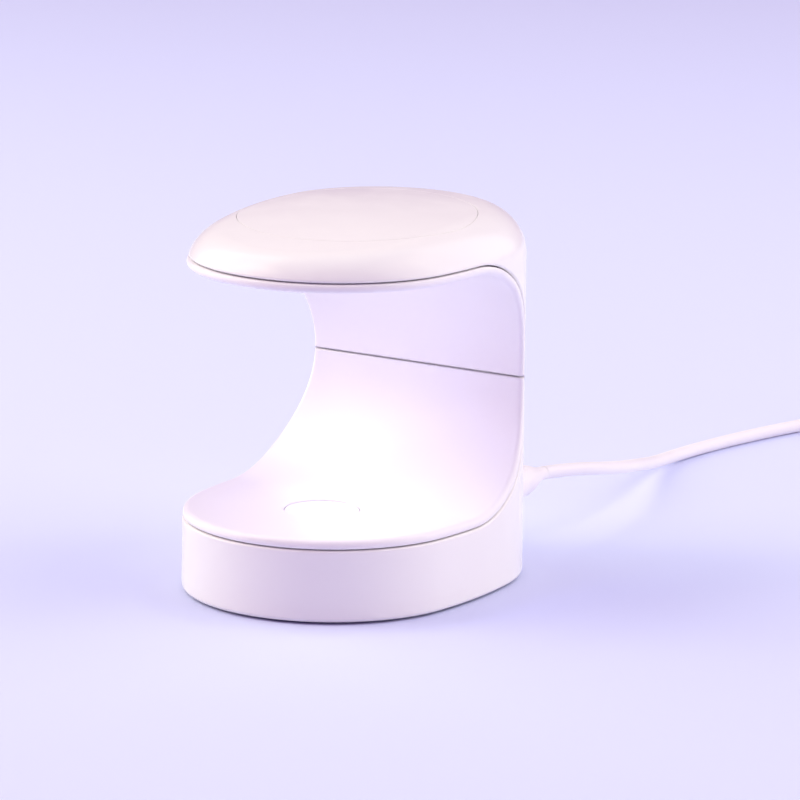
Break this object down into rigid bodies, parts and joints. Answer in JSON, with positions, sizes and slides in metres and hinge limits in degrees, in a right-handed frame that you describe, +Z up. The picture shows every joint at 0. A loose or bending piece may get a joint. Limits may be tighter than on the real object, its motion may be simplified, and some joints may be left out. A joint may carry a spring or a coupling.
{
  "type": "nail curing lamp",
  "caption": "Compact C-shaped curing lamp for the nails: light in the overhanging head, press button in the base, lead with a USB plug.",
  "frame": {"origin": "on the floor under the middle of the oval base", "axes": "+Z up, the mouth of the C faces -Y, the lead leaves the back along +Y, X is across the lamp"},
  "size_m": [0.1004, 0.2705, 0.0816],
  "materials": {
    "shell_white": "glossy",
    "liner_white": "glossy",
    "button_white": "glossy",
    "cover_white": "fine matte",
    "foot_rubber": "matte",
    "screw_steel": "plated",
    "switch_black": "matte",
    "circuit_board": "solder mask",
    "component_dark": "matte",
    "lamp_board_white": "white coated",
    "emitter": "clear dome",
    "diffuser": "translucent",
    "wire_sleeve": "smooth",
    "lead_white": "satin",
    "plug_metal": "nickel plated",
    "contact_gold": "polished"
  },
  "bodies": {
    "lamp": {"outer_shell": "shell_white", "upper_liner": "liner_white", "lower_liner": "liner_white", "top_cap": "shell_white", "bottom_cover": "cover_white", "rubber_feet": "foot_rubber", "switch_case": "switch_black", "control_board": "circuit_board", "board_components": "component_dark", "lamp_board": "lamp_board_white", "light_emitters": "emitter", "light_window": "diffuser", "base_screws": "screw_steel", "head_screws": "screw_steel", "lamp_cable": "wire_sleeve", "supply_cable": "wire_sleeve", "lead_boot": "lead_white", "power_cord": "lead_white", "cord_coil": "lead_white", "usb_plug_grip": "lead_white", "usb_shell": "plug_metal", "usb_tongue": "switch_black", "usb_contacts": "contact_gold"},
    "button": {"power_button": "button_white", "switch_stem": "switch_black"}
  },
  "joints": [
    {"name": "button_press", "type": "slide", "parent": "lamp", "child": "button", "axis": [0, 0, 1], "range_m": [-0.0005, 0], "stiffness_N_per_m": 1200, "springref_m": 0.0008}
  ]
}
